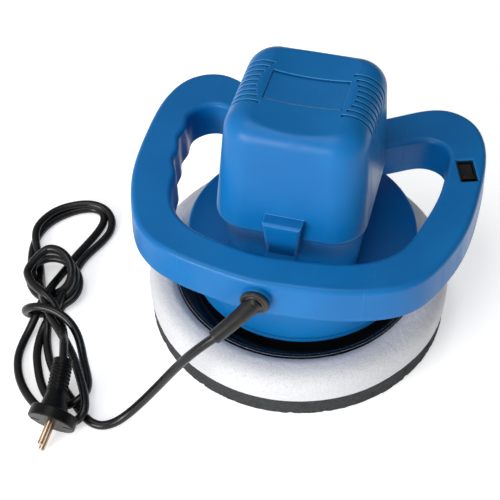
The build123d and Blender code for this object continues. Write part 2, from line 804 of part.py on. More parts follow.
plug_face = Vector(-145, -183.5, 18.2)
plug_tilt = 14.5
plug_yaw = -3.5
sleeve_yaw = 8.6
pin_roll = -15.0
plug_disc_radius = 18.3
plug_disc_depth = 9.0
plug_sleeve_length = 41.0      # from the disc's back to the collar's end
pin_spacing = 19.0
pin_reach = 19.0
mains_pin_radius = 2.4
pin_root_radius = 2.0
pin_shoulder = 1.0             # how far the pin's full width starts from the plug's face


def plug_frame(yaw, back=0.0):
    """A frame whose Z is the way the pins point; yaw turns it about the vertical."""
    level = cos(radians(plug_tilt))
    drop = -sin(radians(plug_tilt))
    forward = Vector(level * sin(radians(yaw)), -level * cos(radians(yaw)), drop)
    across = Vector(cos(radians(yaw)), sin(radians(yaw)), 0)
    return Plane(plug_face - forward * back, x_dir=across, z_dir=forward)


def plug_body():
    disc = Pos(0, 0, -plug_disc_depth / 2) * Cylinder(plug_disc_radius, plug_disc_depth)
    disc = fillet(disc.edges(), 1.2)
    for side in (-1, 1):
        disc = disc - Pos(side * (plug_disc_radius - 5), 0, 0) * Box(7, 2.4, 5)
    disc = plug_frame(plug_yaw) * disc
    back = plug_frame(sleeve_yaw, plug_disc_depth)
    shoulder = Pos(0, 0, -7) * Cone(7.5, 11.5, 16)
    grip = Pos(0, 0, -25) * Cylinder(6.6, 22)
    collar = Pos(0, 0, -plug_sleeve_length + 2.5) * Cylinder(7.4, 5)
    return disc + back * (shoulder + grip + collar)


def plug_pins():
    pins = []
    for side in (-1, 1):
        bare = Pos(0, side * pin_spacing / 2, (pin_reach + pin_shoulder) / 2)
        bare = bare * Cylinder(mains_pin_radius, pin_reach - pin_shoulder)
        bare = fillet(bare.edges().sort_by(Axis.Z)[-1:], 1.0)
        root = Pos(0, side * pin_spacing / 2, (pin_shoulder - 4) / 2)
        root = root * Cylinder(pin_root_radius, pin_shoulder + 4)
        pin = bare + root
        pins.append(plug_frame(plug_yaw) * (Rot(0, 0, pin_roll) * pin))
    return compound(pins)


def cord_tail():
    """The cord's last stretch, from the plug's collar down into the hank."""
    collar_end = plug_frame(sleeve_yaw, plug_disc_depth) * Pos(0, 0, -plug_sleeve_length)
    route = [tuple(collar_end.position)] + cord_tail_route
    return swept_round(route, cord_radius)


def cord_hank():
    upper = band(hank_loop, loop_height, hank_band)
    wrap = band(hank_wrap, wrap_height, hank_band)
    lower = band(hank_tail_loops, loop_height, tail_band)
    return upper + wrap + lower - plug_body() - cord_tail() - cord_lead()


def cord_lead():
    return swept_round(cord_route, cord_radius)


clamp_bottom = 110.5
clamp_top = 113.0


def cord_clamp():
    bar = block(-15, 15, -99.5, -92.5, clamp_bottom, clamp_top)
    for x, y in clamp_screw_places:
        bar = bar - rod(clamp_screw_radius, clamp_bottom - 1, clamp_top + 1, x, y)
    return bar


def cord_clamp_screws():
    screws = []
    for x, y in clamp_screw_places:
        screws.append(pan_screw(clamp_screw_radius, 2.6, clamp_bottom, clamp_top + 9, x, y, 1.6))
    return compound(screws)


# ---------------------------------------------------------------- write every node
def main():
    middle, sides = divided(housing_mouldings(), handle_zones(bridge_end()))
    save(middle, "upper_housing")
    for side, piece in sides.items():
        save(piece, f"handle_{side}")
    middle, sides = divided(handle_lower_cover(), handle_zones())
    save(middle, "handle_cover_rear")
    for side, piece in sides.items():
        save(piece, f"handle_cover_{side}")
    save(handle_screws(), "handle_screws")
    save(label_plate(), "label_plate")
    save(base_mouldings() - neck(), "base_housing")
    save(neck(), "neck")
    save(bearing_plate(), "bearing_plate")
    save(bearing_plate_screws(), "bearing_plate_screws")
    for name, sizes in (("lower", lower_bearing), ("upper", upper_bearing)):
        save(bearing_outer_ring(*sizes), f"{name}_bearing_outer_ring")
        save(bearing_inner_ring(*sizes), f"{name}_bearing_inner_ring")
        save(compound(bearing_balls(*sizes)), f"{name}_bearing_balls")
    save(on_pad_axis(bearing_outer_ring(*pad_bearing)), "pad_bearing_outer_ring")
    save(on_pad_axis(bearing_inner_ring(*pad_bearing)), "pad_bearing_inner_ring")
    save(compound([on_pad_axis(ball) for ball in bearing_balls(*pad_bearing)]), "pad_bearing_balls")
    save(motor_frame_plate(), "motor_frame_plate")
    save(stator_core(), "stator_core")
    save(upper_motor_bracket(), "upper_motor_bracket")
    save(motor_through_screws(), "motor_through_screws")
    save(suppression_capacitor(), "suppression_capacitor")
    for name, side in (("left", -1), ("right", 1)):
        save(coil_loop(side), f"field_coil_{name}")
        save(brush_holder(side), f"brush_holder_{name}")
        save(carbon_brush(side), f"carbon_brush_{name}")
        save(brush_spring(side), f"brush_spring_{name}")
    save(motor_shaft(), "motor_shaft")
    save(armature_core(), "armature_core")
    save(armature_winding(), "armature_winding")
    save(commutator(), "commutator")
    save(cooling_fan(), "cooling_fan")
    save(eccentric_hub(), "eccentric_hub")
    save(hub_grub_screw(), "hub_grub_screw")
    save(counterweight(), "counterweight")
    save(pad_washer(), "pad_washer")
    save(pad_screw(), "pad_screw")
    save(pad_circlip(), "pad_circlip")
    save(backing_plate(), "backing_plate")
    save(white_foam(), "white_foam_pad")
    save(grey_foam(), "grey_foam_face")
    save(switch_body(), "switch_body")
    save(rocker(), "rocker")
    save(grommet(), "cord_grommet")
    save(cord_clamp(), "cord_clamp")
    save(cord_clamp_screws(), "cord_clamp_screws")
    save(cord_lead(), "cord_lead")
    save(cord_hank(), "cord_hank")
    save(cord_tail(), "cord_tail")
    save(plug_body() - plug_pins(), "plug_body")
    save(plug_pins(), "plug_pins")


if __name__ == "__main__":
    main()
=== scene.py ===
import json
from math import cos, pi, radians, sin, tau
import bpy
from mathutils import Matrix, Vector, noise


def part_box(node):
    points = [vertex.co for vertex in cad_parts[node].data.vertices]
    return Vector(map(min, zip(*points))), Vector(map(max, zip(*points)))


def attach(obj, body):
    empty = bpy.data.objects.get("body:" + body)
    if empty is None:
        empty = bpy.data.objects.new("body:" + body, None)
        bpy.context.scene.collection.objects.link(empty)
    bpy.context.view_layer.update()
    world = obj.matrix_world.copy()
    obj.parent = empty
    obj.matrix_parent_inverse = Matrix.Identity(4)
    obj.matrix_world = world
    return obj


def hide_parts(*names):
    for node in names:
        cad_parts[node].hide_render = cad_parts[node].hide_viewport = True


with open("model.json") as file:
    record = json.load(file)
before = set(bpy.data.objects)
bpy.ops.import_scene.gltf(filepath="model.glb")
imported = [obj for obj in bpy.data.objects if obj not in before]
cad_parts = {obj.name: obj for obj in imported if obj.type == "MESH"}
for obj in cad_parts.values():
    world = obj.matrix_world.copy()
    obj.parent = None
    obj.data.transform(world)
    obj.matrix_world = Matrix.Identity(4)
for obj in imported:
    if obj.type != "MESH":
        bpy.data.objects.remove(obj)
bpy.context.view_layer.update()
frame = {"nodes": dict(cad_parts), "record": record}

# Rotary polisher. Metres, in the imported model's frame: +Z up, -Y towards the cord outlet.

record = frame["record"]
mounts = {mount["name"]: mount for mount in record["mounts"]}


def middle(node):
    low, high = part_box(node)
    return (Vector(low) + Vector(high)) / 2


# ---------------------------------------------------------------- camera
CAMERA_AZIMUTH = radians(17)
CAMERA_ELEVATION = radians(48.5)
CAMERA_ROLL = radians(-2)
CAMERA_DISTANCE = 0.9
CAMERA_SIDEWAYS = 0.0408
CAMERA_UP = -0.0340
CAMERA_AIM = Vector((-0.00124, -0.00124, 0))     # the point that the distances are measured from
CAMERA_LENS = 78.12


def add_camera():
    level = Vector((cos(CAMERA_AZIMUTH), sin(CAMERA_AZIMUTH), 0))
    forward = Vector((-sin(CAMERA_AZIMUTH) * cos(CAMERA_ELEVATION),
                      cos(CAMERA_AZIMUTH) * cos(CAMERA_ELEVATION), -sin(CAMERA_ELEVATION)))
    upright = level.cross(forward)
    right = cos(CAMERA_ROLL) * level + sin(CAMERA_ROLL) * upright
    up = -sin(CAMERA_ROLL) * level + cos(CAMERA_ROLL) * upright
    place = CAMERA_AIM - (CAMERA_SIDEWAYS * right + CAMERA_UP * up + CAMERA_DISTANCE * forward)
    data = bpy.data.cameras.new("camera")
    data.lens = CAMERA_LENS
    data.sensor_width = 36
    data.clip_start = 0.01
    camera = bpy.data.objects.new("camera", data)
    camera.matrix_world = Matrix((
        (right.x, up.x, -forward.x, place.x), (right.y, up.y, -forward.y, place.y),
        (right.z, up.z, -forward.z, place.z), (0, 0, 0, 1)))
    bpy.context.scene.collection.objects.link(camera)
    bpy.context.scene.camera = camera


add_camera()


# ---------------------------------------------------------------- materials
class Finish:
    """A Principled material and the nodes that shape its colour, roughness and relief."""

    def __init__(self, name, roughness=0.5, metallic=0.0, **sockets):
        self.material = bpy.data.materials.new(name)
        self.material.use_nodes = True
        self.tree = self.material.node_tree
        self.shader = self.tree.nodes["Principled BSDF"]
        self.set(self.shader, {"Roughness": roughness, "Metallic": metallic, **sockets})
        self.place = self.add("ShaderNodeTexCoord").outputs["Object"]
        self.height = None

    def set(self, node, values):
        for key, value in values.items():
            node.inputs[key.replace("_", " ") if isinstance(key, str) else key].default_value = value

    def add(self, kind, links=None, values=None, **settings):
        node = self.tree.nodes.new(kind)
        for key, value in settings.items():
            setattr(node, key, value)
        self.set(node, values or {})
        for key, source in (links or {}).items():
            self.tree.links.new(source, node.inputs[key])
        return node

    def stretched(self, scale, turn=(0, 0, 0)):
        values = {"Scale": scale, "Rotation": turn}
        return self.add("ShaderNodeMapping", {"Vector": self.place}, values).outputs["Vector"]

    def noise(self, scale, detail=2.0, rough=0.5, vector=None):
        values = {"Scale": scale, "Detail": detail, "Roughness": rough}
        node = self.add("ShaderNodeTexNoise", {"Vector": vector or self.place}, values)
        return node.outputs["Fac"]

    def cells(self, scale):
        """The distance to the nearest of many scattered points."""
        return self.add("ShaderNodeTexVoronoi", {"Vector": self.place}, {"Scale": scale}).outputs["Distance"]

    def ramp(self, source, low, high, to_low=0.0, to_high=1.0, smooth=True):
        values = {"From Min": low, "From Max": high, "To Min": to_low, "To Max": to_high}
        kind = "SMOOTHSTEP" if smooth else "LINEAR"
        node = self.add("ShaderNodeMapRange", {"Value": source}, values, interpolation_type=kind)
        return node.outputs["Result"]

    def maths(self, operation, a, b=None, value=None):
        node = self.add("ShaderNodeMath", {0: a}, operation=operation)
        if b is not None:
            self.tree.links.new(b, node.inputs[1])
        if value is not None:
            node.inputs[1].default_value = value
        return node.outputs[0]

    def colours(self, factor, first, second):
        """From the first colour to the second. Either may be a colour or another node's output."""
        node = self.add("ShaderNodeMix", {"Factor": factor}, data_type="RGBA")
        for socket, colour in ((node.inputs[6], first), (node.inputs[7], second)):
            if isinstance(colour, tuple):
                socket.default_value = (*colour, 1)
            else:
                self.tree.links.new(colour, socket)
        return node.outputs[2]

    def colour(self, source):
        if isinstance(source, tuple):
            self.shader.inputs["Base Color"].default_value = (*source, 1)
        else:
            self.tree.links.new(source, self.shader.inputs["Base Color"])

    def roughness(self, source):
        self.tree.links.new(source, self.shader.inputs["Roughness"])

    def relief(self, source, strength, distance):
        """Adds one layer of bump on top of what is there."""
        links = {"Height": source}
        if self.height is not None:
            links["Normal"] = self.height
        values = {"Strength": strength, "Distance": distance}
        self.height = self.add("ShaderNodeBump", links, values).outputs["Normal"]
        self.tree.links.new(self.height, self.shader.inputs["Normal"])

    def edges(self, radius, wide=None):
        """Softens sharp edges, and gives how far each point is into an edge, from 0 to 1."""
        links = {"Radius": wide} if wide is not None else {}
        soft = self.add("ShaderNodeBevel", links, {"Radius": radius}, samples=8).outputs["Normal"]
        self.height = soft
        self.tree.links.new(soft, self.shader.inputs["Normal"])
        flat = self.add("ShaderNodeNewGeometry").outputs["Normal"]
        facing = self.add("ShaderNodeVectorMath", {0: soft, 1: flat}, operation="DOT_PRODUCT")
        return self.ramp(facing.outputs["Value"], 0.995, 0.90)

    def hollows(self, reach):
        """Ambient occlusion: 1 in the open, lower in corners, used for painted shade."""
        return self.add("ShaderNodeAmbientOcclusion", values={"Distance": reach}, samples=6).outputs["AO"]


EDGE_RADIUS = 0.0004
# the colour of the painted highlight along edges
RIM_HIGHLIGHT_COLOUR = (0.55, 0.56, 0.58)
MARK_COLOUR = (0.16, 0.006, 0.004)
MARK_OUTSIDE, MARK_INSIDE = 0.0016, 0.0011      # the radii between which a mark fades in

BROW_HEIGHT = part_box("upper_housing")[1][2] - 0.012     # where the hollow of the cap's top runs out in front
BROW_FADE = 0.002
BROW_BACK, BROW_FRONT = -0.019, -0.025          # the brow's softening sets in between these, along Y
BROW_RADIUS = 0.0060
BROW_UNMARKED, BROW_BARE = 0.0010, 0.0016       # edges this wide start to lose, and have lost, their rubbed wear and painted highlight
TOWER_FOOT, TOWER_FULL = BROW_HEIGHT - 0.060, BROW_HEIGHT - 0.056
TOWER_EXTRA = 0.0005                            # the tower's edges are this much rounder than the loop's


def brow_and_tower(f):
    """How round the edges are at each point of the blue housing, and where its tower is."""
    parts = f.add("ShaderNodeSeparateXYZ", {0: f.place})
    ahead = f.ramp(parts.outputs["Y"], BROW_BACK, BROW_FRONT)
    above = f.ramp(parts.outputs["Z"], BROW_HEIGHT - BROW_FADE, BROW_HEIGHT)
    tower = f.ramp(parts.outputs["Z"], TOWER_FOOT, TOWER_FULL)
    wide = f.ramp(f.maths("MULTIPLY", ahead, above), 0, 1, EDGE_RADIUS, BROW_RADIUS, smooth=False)
    return f.maths("ADD", wide, f.maths("MULTIPLY", tower, value=TOWER_EXTRA)), tower


def moulded(name, deep, bright, wear_and_highlight, rough, grain=0.35, coat=0.0, shine=0.3, rim_highlight=0.0, mark=None,
            brow=False):
    """Injection-moulded plastic: fine spark grain, faint flow marks, edges lighter partly from rubbed wear and
    partly as painted highlight, painted shade in the corners.

    the rim setting paints a highlight along the edges, mark is the middle of a small red spot, and brow is for
    the blue housing.
    """
    f = Finish(name, roughness=rough, Coat_Weight=coat, Coat_Roughness=0.15, Specular_IOR_Level=shine)
    if brow:
        wide, tower = brow_and_tower(f)
        edge = f.edges(EDGE_RADIUS, wide)
        edge = f.maths("MULTIPLY", edge, f.ramp(wide, BROW_UNMARKED, BROW_BARE, 1.0, 0.0))
    else:
        edge = f.edges(EDGE_RADIUS)
    cloud = f.ramp(f.noise(14, 3, 0.55), 0.3, 0.7)
    flow = f.ramp(f.noise(60, 2, 0.5, f.stretched((1, 1, 0.25))), 0.35, 0.75)
    body = f.colours(cloud, deep, bright)
    scuffs = f.ramp(f.noise(420, 3, 0.7, f.stretched((1, 0.08, 0.6), (0.3, 0.5, 0.9))), 0.66, 0.74)
    # Lighter edges, partly rubbed wear and partly painted highlight.
    wear_and_highlight_edges = f.maths("MULTIPLY", edge, f.ramp(f.noise(160, 3, 0.6), 0.35, 0.65))
    body = f.colours(f.maths("MULTIPLY", wear_and_highlight_edges, value=0.42), body, wear_and_highlight)
    if brow:
        # Painted highlight: the tower's edges, the vent ridges among them, lightened further.
        body = f.colours(f.maths("MULTIPLY", edge, f.maths("MULTIPLY", tower, value=0.75)), body, wear_and_highlight)
    body = f.colours(f.maths("MULTIPLY", scuffs, value=0.10), body, wear_and_highlight)
    # Painted highlight along the edges, in the rim colour.
    body = f.colours(f.maths("MULTIPLY", edge, value=rim_highlight), body, RIM_HIGHLIGHT_COLOUR)
    if mark is not None:
        away = f.add("ShaderNodeVectorMath", {0: f.place}, {1: mark}, operation="DISTANCE")
        body = f.colours(f.ramp(away.outputs["Value"], MARK_OUTSIDE, MARK_INSIDE), body, MARK_COLOUR)
    # Painted shade: darker where ambient occlusion finds corners and recesses.
    corner = f.ramp(f.hollows(0.005), 0.25, 0.65)
    painted_shade_colour = tuple(channel * 0.72 for channel in deep)
    f.colour(f.colours(corner, painted_shade_colour, body))
    patches = f.ramp(flow, 0, 1, rough - 0.05, rough + 0.06)
    f.roughness(f.maths("ADD", patches, f.maths("MULTIPLY", scuffs, value=0.10)))
    f.relief(f.noise(2600, 2, 0.6), grain, 0.00004)
    f.relief(f.noise(38, 2, 0.5), 0.25, 0.0004)
    return f.material


def rubber(name, dark, light, rough, grain=0.3, shine=0.3):
    """Soft black PVC or rubber: a faint bloom, patchy roughness and a matt bump."""
    f = Finish(name, roughness=rough, Specular_IOR_Level=shine)
    bloom = f.ramp(f.noise(90, 4, 0.6), 0.35, 0.75)
    f.colour(f.colours(bloom, dark, light))
    f.roughness(f.ramp(f.noise(320, 3, 0.6), 0.3, 0.7, rough - 0.04, rough + 0.06))
    f.relief(f.noise(2200, 2, 0.6), grain, 0.00004)
    f.relief(f.noise(260, 2, 0.5), grain * 0.5, 0.00008)
    return f.material


def foam(name, dark, light, pore_shade, cell, depth, fuzz):
    """Open-cell foam: cells of uneven size, small pores darkened by painted shade, a soft fuzzy relief."""
    f = Finish(name, roughness=0.92, Sheen_Weight=fuzz, Sheen_Roughness=0.6, Specular_IOR_Level=0.2)
    patch = f.ramp(f.noise(18, 4, 0.6), 0.25, 0.75)
    tone = f.ramp(f.noise(cell * 0.9, 3, 0.7), 0.3, 0.7)
    body = f.colours(tone, dark, light)
    body = f.colours(f.maths("MULTIPLY", patch, value=0.35), body, light)
    fine = f.cells(cell)
    coarse = f.cells(cell * 0.42)
    hole = f.ramp(fine, 0.08, 0.30)
    big_hole = f.ramp(coarse, 0.04, 0.20)
    shade = f.maths("MULTIPLY", hole, big_hole)
    # Painted shade: the pores are darkened.
    f.colour(f.colours(shade, pore_shade, body))
    f.relief(f.noise(cell * 0.35, 4, 0.75), 0.8, depth)
    f.relief(shade, 0.7, depth * 0.7)
    return f.material


def metal(name, dark, light, rough, lines=(1, 1, 1), grain=900, relief=0.00003):
    """Turned, pressed or cast metal: tool lines, stains and a varied polish."""
    f = Finish(name, roughness=rough, metallic=1.0)
    edge = f.edges(EDGE_RADIUS)
    strokes = f.noise(grain, 3, 0.6, f.stretched(lines))
    stain = f.ramp(f.noise(45, 4, 0.6), 0.3, 0.75)
    body = f.colours(stain, dark, light)
    edge_colour = tuple(min(1.0, channel * 1.35) for channel in light)
    # Lighter at the sharp edges.
    f.colour(f.colours(f.maths("MULTIPLY", edge, value=0.4), body, edge_colour))
    f.roughness(f.ramp(strokes, 0.25, 0.75, rough - 0.08, rough + 0.12))
    f.relief(strokes, 0.35, relief)
    return f.material


def wound(name, dark, light):
    """Enamelled copper wire lying in close turns, with painted shade in the grooves between them."""
    f = Finish(name, roughness=0.3, metallic=0.85, Coat_Weight=0.5, Coat_Roughness=0.1)
    wave = f.add("ShaderNodeTexWave", {"Vector": f.place}, {
        "Scale": 190.0, "Distortion": 1.2, "Detail": 1.0, "Detail Scale": 0.6},
        bands_direction="Z").outputs["Fac"]
    stain = f.ramp(f.noise(120, 3, 0.6), 0.3, 0.7)
    # Painted shade in the grooves between turns, mixed with random stain.
    f.colour(f.colours(f.maths("MULTIPLY", wave, stain), dark, light))
    f.relief(wave, 0.8, 0.0003)
    return f.material


# The third blue serves both rubbed wear and painted edge highlight.
BLUE_DEEP, BLUE_BRIGHT, BLUE_WEAR_AND_HIGHLIGHT = (0.0015, 0.118, 0.350), (0.0030, 0.142, 0.400), (0.05, 0.32, 0.64)
DARK_PLASTIC = {"deep": (0.003, 0.003, 0.0035), "bright": (0.006, 0.006, 0.0065),
                "wear_and_highlight": (0.05, 0.05, 0.05), "rough": 0.45, "shine": 0.25}
finishes = {
    "blue_housing": moulded("blue_housing", BLUE_DEEP, BLUE_BRIGHT, BLUE_WEAR_AND_HIGHLIGHT, 0.35, shine=0.24, brow=True),
    "label_blue": moulded("label_blue", BLUE_DEEP, BLUE_BRIGHT, BLUE_WEAR_AND_HIGHLIGHT, 0.30, 0.2),
    "black_plastic": moulded("black_plastic", (0.0025, 0.0025, 0.003), (0.005, 0.005, 0.0055),
                             (0.06, 0.06, 0.06), 0.20, 0.08, 0.3, 0.4, rim_highlight=0.9),
    "dark_plastic": moulded("dark_plastic", **DARK_PLASTIC),
    "fan_plastic": moulded("fan_plastic", (0.05, 0.05, 0.055), (0.08, 0.08, 0.085), (0.2, 0.2, 0.2), 0.45),
    "rubber_black": rubber("rubber_black", (0.0025, 0.0025, 0.003), (0.005, 0.005, 0.0055), 0.34, 0.3, 0.14),
    "cord_black": rubber("cord_black", (0.0022, 0.0022, 0.0026), (0.0045, 0.0045, 0.005), 0.26, 0.12, 0.35),
    "carbon": rubber("carbon", (0.012, 0.012, 0.012), (0.03, 0.03, 0.03), 0.6, 0.6),
    "white_foam": foam("white_foam", (0.57, 0.57, 0.59), (0.69, 0.69, 0.71), (0.38, 0.38, 0.40),
                       1300, 0.0005, 0.06),
    "grey_foam": foam("grey_foam", (0.022, 0.023, 0.024), (0.045, 0.047, 0.049), (0.006, 0.006, 0.0065),
                      700, 0.0008, 0.02),
    "steel": metal("steel", (0.42, 0.42, 0.43), (0.62, 0.62, 0.63), 0.28),
    "core_steel": metal("core_steel", (0.20, 0.20, 0.21), (0.36, 0.36, 0.38), 0.45, (1, 1, 12), 700, 0.0002),
    "zinc": metal("zinc", (0.45, 0.46, 0.48), (0.62, 0.63, 0.65), 0.48, (1, 1, 1), 1400, 0.00008),
    "brass": metal("brass", (0.50, 0.33, 0.12), (0.78, 0.58, 0.28), 0.3, (1, 1, 0.1)),
    "pin_metal": metal("pin_metal", (0.30, 0.20, 0.12), (0.62, 0.47, 0.33), 0.24, (1, 8, 8), 500),
    "copper": wound("copper", (0.25, 0.08, 0.03), (0.85, 0.38, 0.17))}


def wear(piece, slot, finish=None):
    """Gives a piece the finish of its slot, or one of its own."""
    piece.data.materials.clear()
    piece.data.materials.append(finish or finishes[slot])


MARK_ALONG, MARK_ACROSS, MARK_UP = 0.0055, 0.0030, 0.0045       # from the rocker's hinge


def rocker_mark():
    """The small red mark, low on the rocker's inner side, in the rocker's own frame."""
    joint = next(j for j in record["behaviour"]["joints"] if j["name"] == "rocker_tilt")
    across = Vector(joint["axis"])
    along = Vector((0, 0, 1)).cross(across)
    place = Vector(joint["pos_m"]) - along * MARK_ALONG - across * MARK_ACROSS + Vector((0, 0, MARK_UP))
    return tuple(frame["nodes"]["rocker"].matrix_world.inverted() @ place)


for part in record["subparts"]:
    for holder in frame["nodes"][part["node"]].material_slots:
        holder.material = finishes[part["material_slot"]]
for holder in frame["nodes"]["rocker"].material_slots:
    holder.material = moulded("rocker_plastic", **DARK_PLASTIC, mark=rocker_mark())


# ---------------------------------------------------------------- mesh helpers
def shown(name, vertices, faces):
    """A smooth-shaded mesh in the scene."""
    data = bpy.data.meshes.new(name)
    data.from_pydata([tuple(v) for v in vertices], [], faces)
    data.validate()
    data.update()
    for face in data.polygons:
        face.use_smooth = True
    piece = bpy.data.objects.new(name, data)
    bpy.context.scene.collection.objects.link(piece)
    return piece


def skinned(rings):
    """The vertices and faces of a closed skin over rings of equal count, each a list of points."""
    count = len(rings[0])
    vertices = [point for ring in rings for point in ring]
    faces = []
    for row in range(len(rings) - 1):
        for i in range(count):
            j = (i + 1) % count
            low, high = row * count, (row + 1) * count
            faces.append((low + i, low + j, high + j, high + i))
    faces.append(tuple(range(count - 1, -1, -1)))
    faces.append(tuple(range((len(rings) - 1) * count, len(rings) * count)))
    return vertices, faces


def rounded(corners, steps=6):
    """A profile of (radius, height) points, each corner given as (radius, height, rounding)."""
    points = []
    for i, (r, z, rounding) in enumerate(corners):
        corner = Vector((r, z))
        if rounding == 0 or i in (0, len(corners) - 1):
            points.append(corner)
            continue
        before = (Vector(corners[i - 1][:2]) - corner).normalized()
        after = (Vector(corners[i + 1][:2]) - corner).normalized()
        start, finish = corner + before * rounding, corner + after * rounding
        for k in range(steps + 1):
            t = k / steps
            points.append(start * (1 - t) ** 2 + corner * 2 * t * (1 - t) + finish * t ** 2)
    return points


def divided(points, longest):
    """The same profile with no stretch longer than the given length."""
    out = [points[0]]
    for before, after in zip(points, points[1:]):
        steps = max(1, int((after - before).length / longest + 0.999))
        out += [before.lerp(after, k / steps) for k in range(1, steps + 1)]
    return out


# ---------------------------------------------------------------- label plate
HOLLOW_RADIUS = 0.180       # of the shallow hollow along the cap's top
LABEL_CORNER = 0.0022
LABEL_THICKNESS = 0.0006
LABEL_EDGE_DROP = 0.00012   # by which the long edges are broken
LABEL_LIFT = 0.00004        # of its underside above the cap
LABEL_COLUMNS, LABEL_ROWS = 48, 12


def add_label():
    """A blank plate that follows the hollow of the cap's top, with its edges broken."""
    low, high = (Vector(c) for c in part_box("label_plate"))
    centre, half = (low + high) / 2, (high - low) / 2
    rings = []
    for i in range(LABEL_COLUMNS + 1):
        x = -half.x * cos(pi * i / LABEL_COLUMNS)
        past_corner = max(0.0, abs(x) - (half.x - LABEL_CORNER))
        depth = half.y - LABEL_CORNER + max(0.0, LABEL_CORNER ** 2 - past_corner ** 2) ** 0.5
        bow = HOLLOW_RADIUS - (HOLLOW_RADIUS ** 2 - x ** 2) ** 0.5
        ring = []
        for k in range(LABEL_ROWS + 1):
            drop = LABEL_EDGE_DROP if k in (0, LABEL_ROWS) else 0.0
            ring.append((depth * (2 * k / LABEL_ROWS - 1), LABEL_THICKNESS - drop))
        ring += [(depth, LABEL_LIFT), (-depth, LABEL_LIFT)]
        rings.append([Vector((centre.x + x, centre.y + y, low.z + bow + height)) for y, height in ring])
    plate = shown("blank_label", *skinned(rings))
    wear(plate, "label_blue")
    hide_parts("label_plate")
    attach(plate, "housing")


add_label()


# ---------------------------------------------------------------- foam pad
FOAM_RADIUS = 0.120
FOAM_GLUE_LINE = 0.0165     # the height at which the white foam meets the grey
FOAM_GAP = 0.0001           # between the grey foam and what it touches
FOAM_FOOT_RADIUS = 0.1186   # of the white foam at the glue line
FOAM_TOP_RADIUS = 0.1030    # where the white foam's shoulder ends
FOAM_WELL_RADIUS = 0.0978   # of the well that takes the black plate
FOAM_WELL_DEPTH = 0.0094
FOAM_MIDDLE = 0.0005        # the profiles start this far from the axis
FOAM_ROUGH_FROM = 0.1       # further in than this, the flat faces stay flat
GREY_RADIUS = 0.1190
TURNED_SEGMENTS = 420
TURNED_STRETCH = 0.0022     # the longest stretch of a turned profile


def turned(name, profile, place, shape):
    """A body turned about a vertical axis. shape moves each point by its own rule."""
    rings = []
    for r, z in divided(rounded(profile), TURNED_STRETCH):
        ring = []
        for k in range(TURNED_SEGMENTS):
            angle = tau * k / TURNED_SEGMENTS
            point = Vector((place.x + r * cos(angle), place.y + r * sin(angle), z))
            ring.append(shape(point, r, Vector((cos(angle), sin(angle), 0))))
        rings.append(ring)
    return shown(name, *skinned(rings))


def fluffed(point, r, away):
    """The white foam's slow waves and fine fluff."""
    slow = noise.noise(point * 22) * 0.0007
    fine = noise.noise(point * 420) * 0.00022 + noise.noise(point * 900) * 0.00012
    return point + away * (slow + fine) + Vector((0, 0, fine if r > FOAM_ROUGH_FROM else 0))


def nicked(point, r, away):
    """The grey foam's rough cut edge, with a nick here and there."""
    rough = noise.noise(point * 500) * 0.00035 + noise.noise(point * 180) * 0.0003
    nick = max(0.0, noise.noise(point * 130 + Vector((7, 3, 1))) - 0.32) * 0.004
    return point + away * (rough - nick if r > FOAM_ROUGH_FROM else 0)


def add_pad():
    axis = middle("white_foam_pad")
    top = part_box("white_foam_pad")[1][2]
    seat = top - FOAM_WELL_DEPTH
    white = [(FOAM_MIDDLE, FOAM_GLUE_LINE, 0), (FOAM_FOOT_RADIUS, FOAM_GLUE_LINE, 0.0003),
             (0.1196, FOAM_GLUE_LINE + 0.0012, 0.0007), (FOAM_RADIUS, top, 0.0145),
             (FOAM_TOP_RADIUS, top, 0.0024), (FOAM_WELL_RADIUS, top - 0.0026, 0.0016),
             (FOAM_WELL_RADIUS, seat, 0), (FOAM_MIDDLE, seat, 0)]
    pad = turned("foam_pad", white, axis, fluffed)
    wear(pad, "white_foam")
    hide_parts("white_foam_pad")
    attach(pad, "pad")

    glued = FOAM_GLUE_LINE - FOAM_GAP
    grey = [(FOAM_MIDDLE, FOAM_GAP, 0), (GREY_RADIUS, FOAM_GAP, 0.0008), (GREY_RADIUS, glued, 0.0003),
            (FOAM_MIDDLE, glued, 0)]
    face = turned("foam_face", grey, axis, nicked)
    wear(face, "grey_foam")
    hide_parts("grey_foam_face")
    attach(face, "pad")


add_pad()


